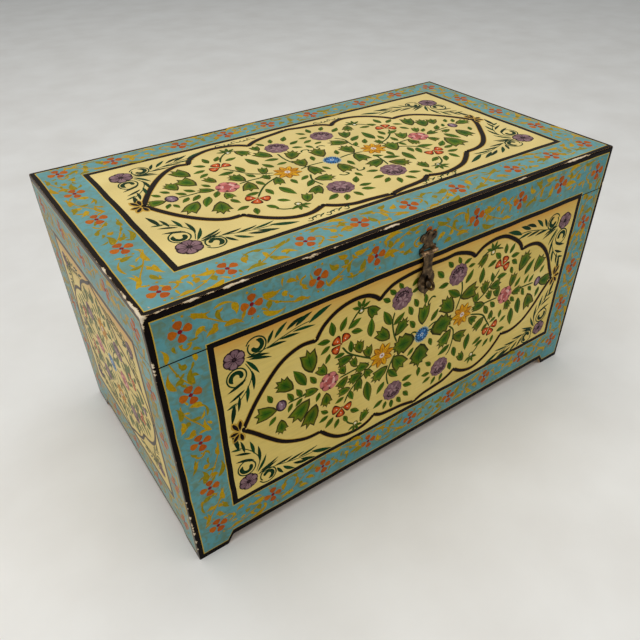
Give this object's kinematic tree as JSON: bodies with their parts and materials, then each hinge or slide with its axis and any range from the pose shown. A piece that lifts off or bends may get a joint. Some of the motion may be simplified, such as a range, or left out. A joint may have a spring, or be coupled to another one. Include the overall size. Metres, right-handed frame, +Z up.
{
  "type": "wooden trunk",
  "caption": "Painted rectangular wooden trunk on shaped feet, with a box lid hinged at the back and a brass hasp over a staple, for papers and keepsakes.",
  "frame": {"origin": "on the floor, under the middle of the overall size, hinges and hasp included", "axes": "+X along the front to the right, +Y to the back, +Z up"},
  "size_m": [0.72, 0.4234, 0.398],
  "materials": {
    "painted_wood": "oil paint on boards, blue-green borders and cream panels with flowers, varnished, worn at the edges",
    "plain_wood": "planed softwood, unpainted",
    "aged_brass": "cast and sheet brass, browned with age",
    "iron": "dark iron wire"
  },
  "bodies": {
    "case": {"front_board": "painted_wood", "back_board": "painted_wood", "left_end_board": "painted_wood", "right_end_board": "painted_wood", "bottom_board": "plain_wood", "front_cleat": "plain_wood", "back_cleat": "plain_wood", "left_cleat": "plain_wood", "right_cleat": "plain_wood", "foot_blocks": "plain_wood", "left_hinge_case_leaf": "aged_brass", "right_hinge_case_leaf": "aged_brass", "left_hinge_pin": "iron", "right_hinge_pin": "iron", "case_hinge_screws": "aged_brass", "staple_plate": "aged_brass", "staple_eye": "aged_brass", "staple_nails": "aged_brass"},
    "lid": {"lid_top_board": "painted_wood", "lid_front_rail": "painted_wood", "lid_back_rail": "painted_wood", "lid_left_rail": "painted_wood", "lid_right_rail": "painted_wood", "left_hinge_lid_leaf": "aged_brass", "right_hinge_lid_leaf": "aged_brass", "lid_hinge_screws": "aged_brass", "hasp_lid_plate": "aged_brass", "hasp_pin": "iron", "hasp_nails": "aged_brass"},
    "hasp": {"hasp_strap": "aged_brass"}
  },
  "joints": [
    {"name": "lid_hinge", "type": "hinge", "parent": "case", "child": "lid", "pos_m": [0, 0.2087, 0.333], "axis": [-1, 0, 0], "range_deg": [0, 180]},
    {"name": "hasp_hinge", "type": "hinge", "parent": "lid", "child": "hasp", "pos_m": [0, -0.1955, 0.345], "axis": [-1, 0, 0], "range_deg": [0, 170]}
  ]
}
